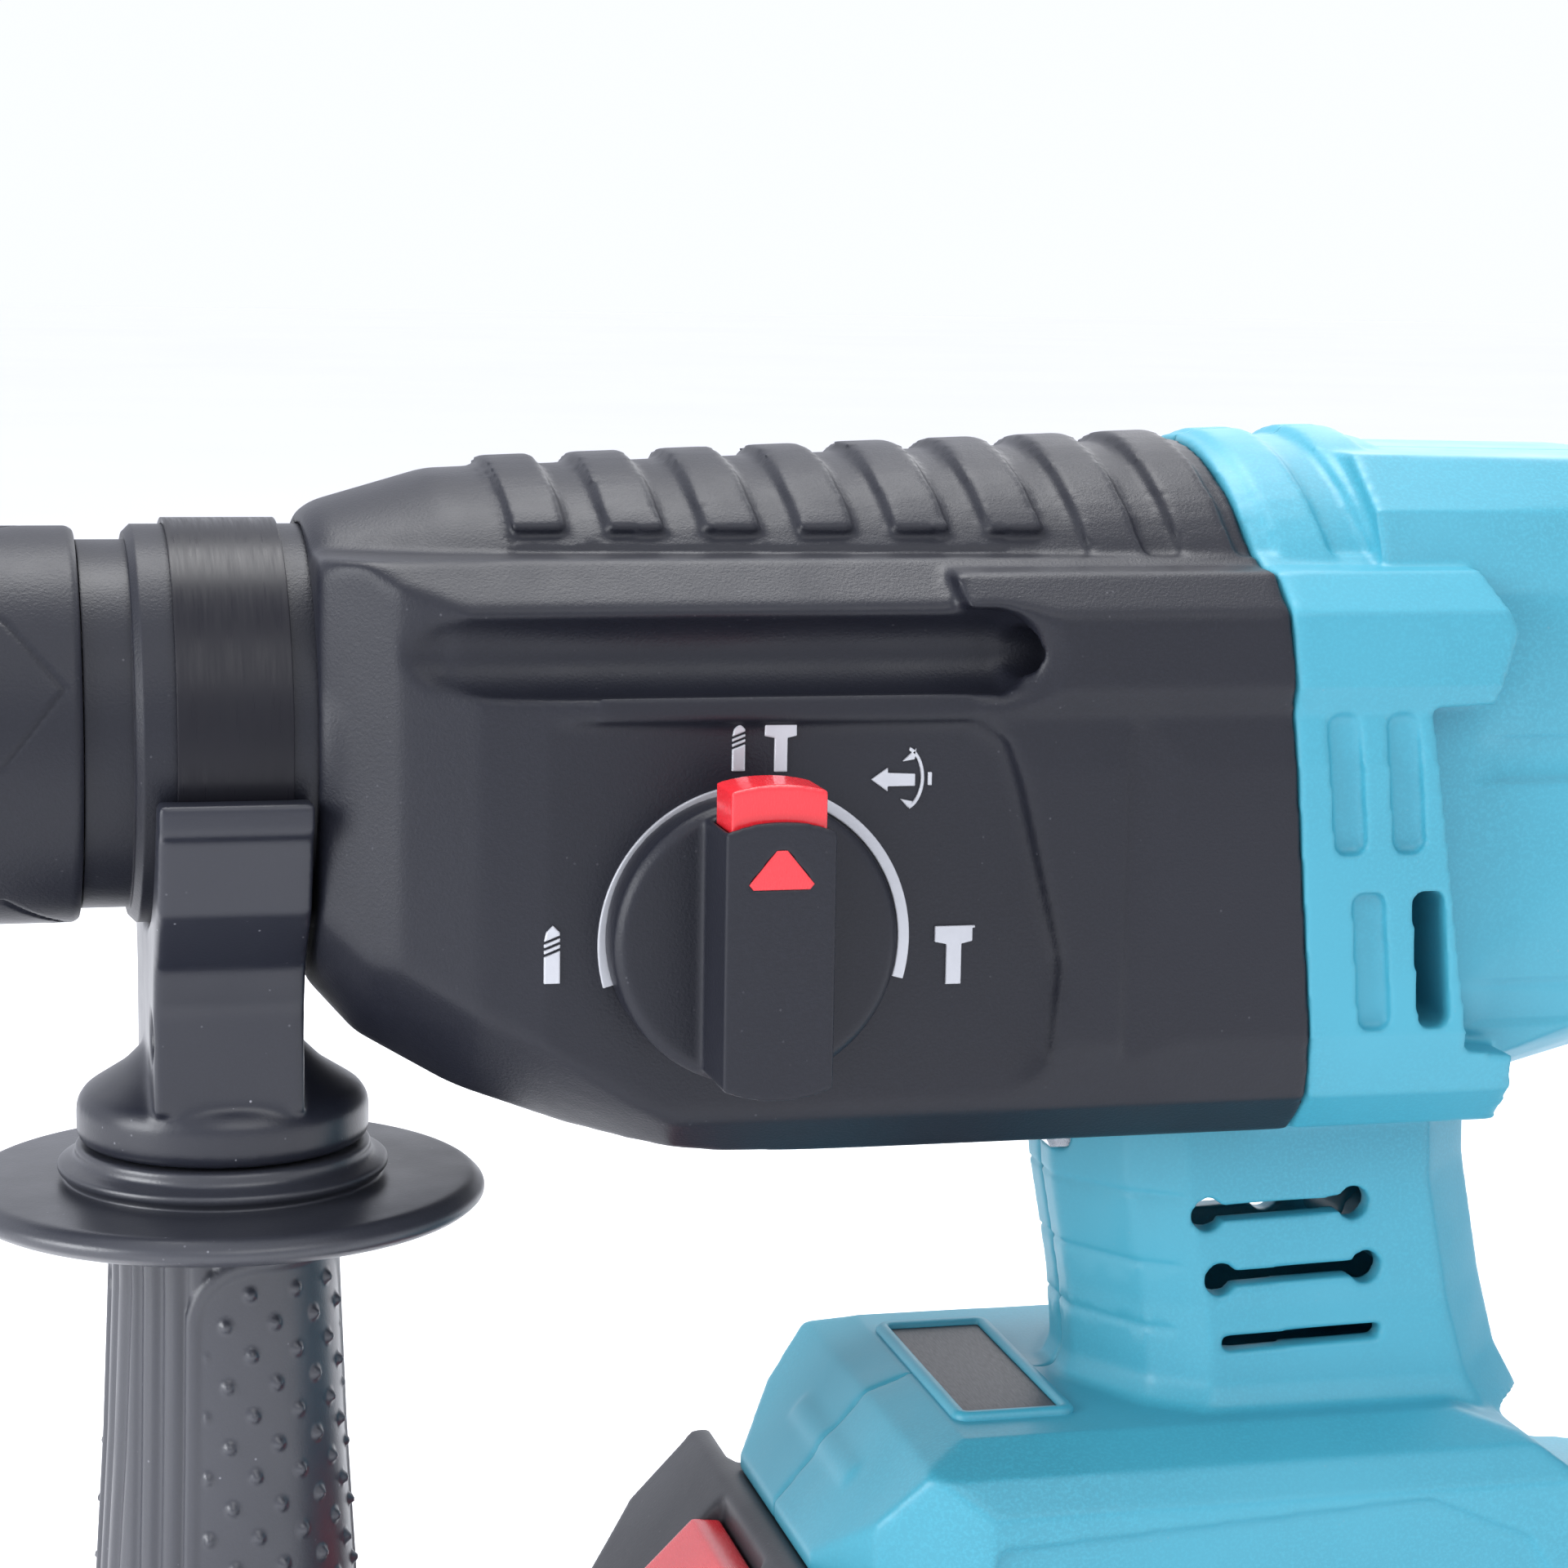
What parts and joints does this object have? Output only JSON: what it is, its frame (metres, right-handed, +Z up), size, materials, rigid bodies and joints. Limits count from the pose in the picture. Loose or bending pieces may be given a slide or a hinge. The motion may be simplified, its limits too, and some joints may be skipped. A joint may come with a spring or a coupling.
{
  "type": "rotary hammer",
  "caption": "Cordless rotary hammer with slotted-shank chuck, swivelling side handle, mode knob, closed rear handle with trigger and a slide-on battery.",
  "frame": {"origin": "mouth of the tool socket, on the spindle axis", "axes": "+X runs back along the spindle axis from the tool socket to the rear handle, +Z is up, -Y is the mode knob's side"},
  "size_m": [0.328, 0.097, 0.2133],
  "materials": {
    "teal_plastic": "fine moulded grain",
    "black_plastic": "fine moulded grain",
    "handle_plastic": "moulded, slightly satin",
    "grip_rubber": "soft, matt",
    "seal_rubber": "matt",
    "black_steel": "satin black",
    "steel": "ground",
    "spring_steel": "drawn wire",
    "cast_alloy": "as cast",
    "copper_wire": "enamelled",
    "red_plastic": "glossy",
    "display_grey": "glossy film",
    "clear_lens": "clear",
    "board_green": "lacquered",
    "pack_plastic": "fine moulded grain",
    "cell_wrap": "shrink wrap",
    "contact_metal": "plated",
    "switch_plastic": "moulded"
  },
  "bodies": {
    "housing": {"barrel": "black_plastic", "oil_seal": "seal_rubber", "spindle_bearings": "steel", "shaft_bearings": "steel", "motor_bearings": "steel", "gear_case": "black_plastic", "bearing_plate": "cast_alloy", "housing_left": "teal_plastic", "housing_right": "teal_plastic", "grip_overmould": "grip_rubber", "housing_screws": "steel", "case_screws": "steel", "display_panel": "display_grey", "led_lens": "clear_lens", "switch_body": "switch_plastic", "controller_board": "board_green", "terminal_block": "switch_plastic", "stator_core": "steel", "stator_windings": "copper_wire", "trigger_spring": "spring_steel"},
    "spindle": {"spindle": "steel", "dust_cap": "seal_rubber", "locking_balls": "steel", "spindle_gear": "steel", "clutch_spring": "spring_steel", "sleeve_spring": "spring_steel"},
    "sleeve": {"chuck_sleeve": "black_plastic", "ball_ring": "steel"},
    "impact_bolt": {"impact_bolt": "steel"},
    "striker": {"striker": "steel", "striker_seal": "seal_rubber"},
    "piston": {"piston": "cast_alloy", "piston_seal": "seal_rubber", "piston_pin": "steel"},
    "wobble_ring": {"wobble_ring": "steel"},
    "intermediate_shaft": {"intermediate_shaft": "steel", "wobble_hub": "steel", "driven_gear": "steel"},
    "rotor": {"rotor_shaft": "steel", "rotor_core": "steel", "cooling_fan": "switch_plastic"},
    "shift_fork": {"shift_fork": "steel"},
    "mode_knob": {"mode_knob": "black_plastic", "knob_pointer": "red_plastic", "knob_spring": "spring_steel"},
    "lock_button": {"lock_button": "red_plastic"},
    "trigger": {"trigger": "black_plastic"},
    "direction_slider": {"direction_slider": "black_plastic"},
    "side_handle": {"clamp_band": "black_steel", "handle_saddle": "handle_plastic", "clamp_bolt": "steel"},
    "side_grip": {"side_grip": "handle_plastic", "grip_nut": "steel"},
    "battery": {"battery_case_upper": "pack_plastic", "battery_case_lower": "pack_plastic", "battery_cells": "cell_wrap", "cell_frame": "switch_plastic", "battery_contacts": "contact_metal", "release_spring": "spring_steel"},
    "release_button": {"release_button": "red_plastic"}
  },
  "joints": [
    {"name": "rotor_spin", "type": "hinge", "parent": "housing", "child": "rotor", "pos_m": [0.22, 0, -0.0116], "axis": [1, 0, 0], "continuous": true},
    {"name": "intermediate_spin", "type": "hinge", "parent": "housing", "child": "intermediate_shaft", "pos_m": [0.14, 0, -0.03], "axis": [1, 0, 0], "continuous": true},
    {"name": "spindle_spin", "type": "hinge", "parent": "housing", "child": "spindle", "pos_m": [0.06, 0, 0], "axis": [1, 0, 0], "continuous": true},
    {"name": "wobble_rock", "type": "hinge", "parent": "housing", "child": "wobble_ring", "pos_m": [0.148, 0, -0.03], "axis": [0, 1, 0], "range_deg": [-9, 9]},
    {"name": "piston_slide", "type": "slide", "parent": "housing", "child": "piston", "axis": [1, 0, 0], "range_m": [-0.0047, 0.0047]},
    {"name": "striker_slide", "type": "slide", "parent": "spindle", "child": "striker", "axis": [1, 0, 0], "range_m": [0, 0.004]},
    {"name": "impact_bolt_slide", "type": "slide", "parent": "spindle", "child": "impact_bolt", "axis": [1, 0, 0], "range_m": [0, 0.004]},
    {"name": "sleeve_slide", "type": "slide", "parent": "spindle", "child": "sleeve", "axis": [1, 0, 0], "range_m": [0, 0.0055], "stiffness_N_per_m": 1500, "springref_m": -0.004, "deforming": ["sleeve_spring"]},
    {"name": "knob_turn", "type": "hinge", "parent": "housing", "child": "mode_knob", "pos_m": [0.1233, -0.045, -0.0211], "axis": [0, 1, 0], "range_deg": [-90, 90]},
    {"name": "fork_shift", "type": "slide", "parent": "housing", "child": "shift_fork", "axis": [1, 0, 0], "range_m": [-0.0041, 0.0041]},
    {"name": "lock_button_press", "type": "slide", "parent": "mode_knob", "child": "lock_button", "axis": [0, 0, -1], "range_m": [0, 0.002], "stiffness_N_per_m": 500, "springref_m": -0.002, "deforming": ["knob_spring"]},
    {"name": "trigger_pull", "type": "slide", "parent": "housing", "child": "trigger", "axis": [1, 0, 0], "range_m": [0, 0.006], "stiffness_N_per_m": 900, "springref_m": -0.003, "deforming": ["trigger_spring"]},
    {"name": "direction_slide", "type": "slide", "parent": "housing", "child": "direction_slider", "axis": [0, 1, 0], "range_m": [-0.004, 0.004]},
    {"name": "side_handle_swing", "type": "hinge", "parent": "housing", "child": "side_handle", "pos_m": [0.065, 0, 0], "axis": [1, 0, 0], "continuous": true},
    {"name": "side_grip_turn", "type": "hinge", "parent": "side_handle", "child": "side_grip", "pos_m": [0.065, 0, -0.1], "axis": [0, 0, 1], "range_deg": [0, 360]},
    {"name": "battery_slide", "type": "slide", "parent": "housing", "child": "battery", "axis": [-1, 0, 0], "range_m": [0, 0.032]},
    {"name": "release_press", "type": "slide", "parent": "battery", "child": "release_button", "axis": [0, 0, -1], "range_m": [0, 0.0018], "stiffness_N_per_m": 800, "springref_m": -0.002, "deforming": ["release_spring"]}
  ],
  "couplings": [
    {"joint": "intermediate_spin", "follows": "rotor_spin", "ratio": -0.21053},
    {"joint": "spindle_spin", "follows": "rotor_spin", "ratio": 0.070175},
    {"joint": "wobble_rock", "follows": "piston_slide", "rad_per_m": 33.333},
    {"joint": "fork_shift", "follows": "knob_turn", "m_per_rad": 0.0025465}
  ]
}
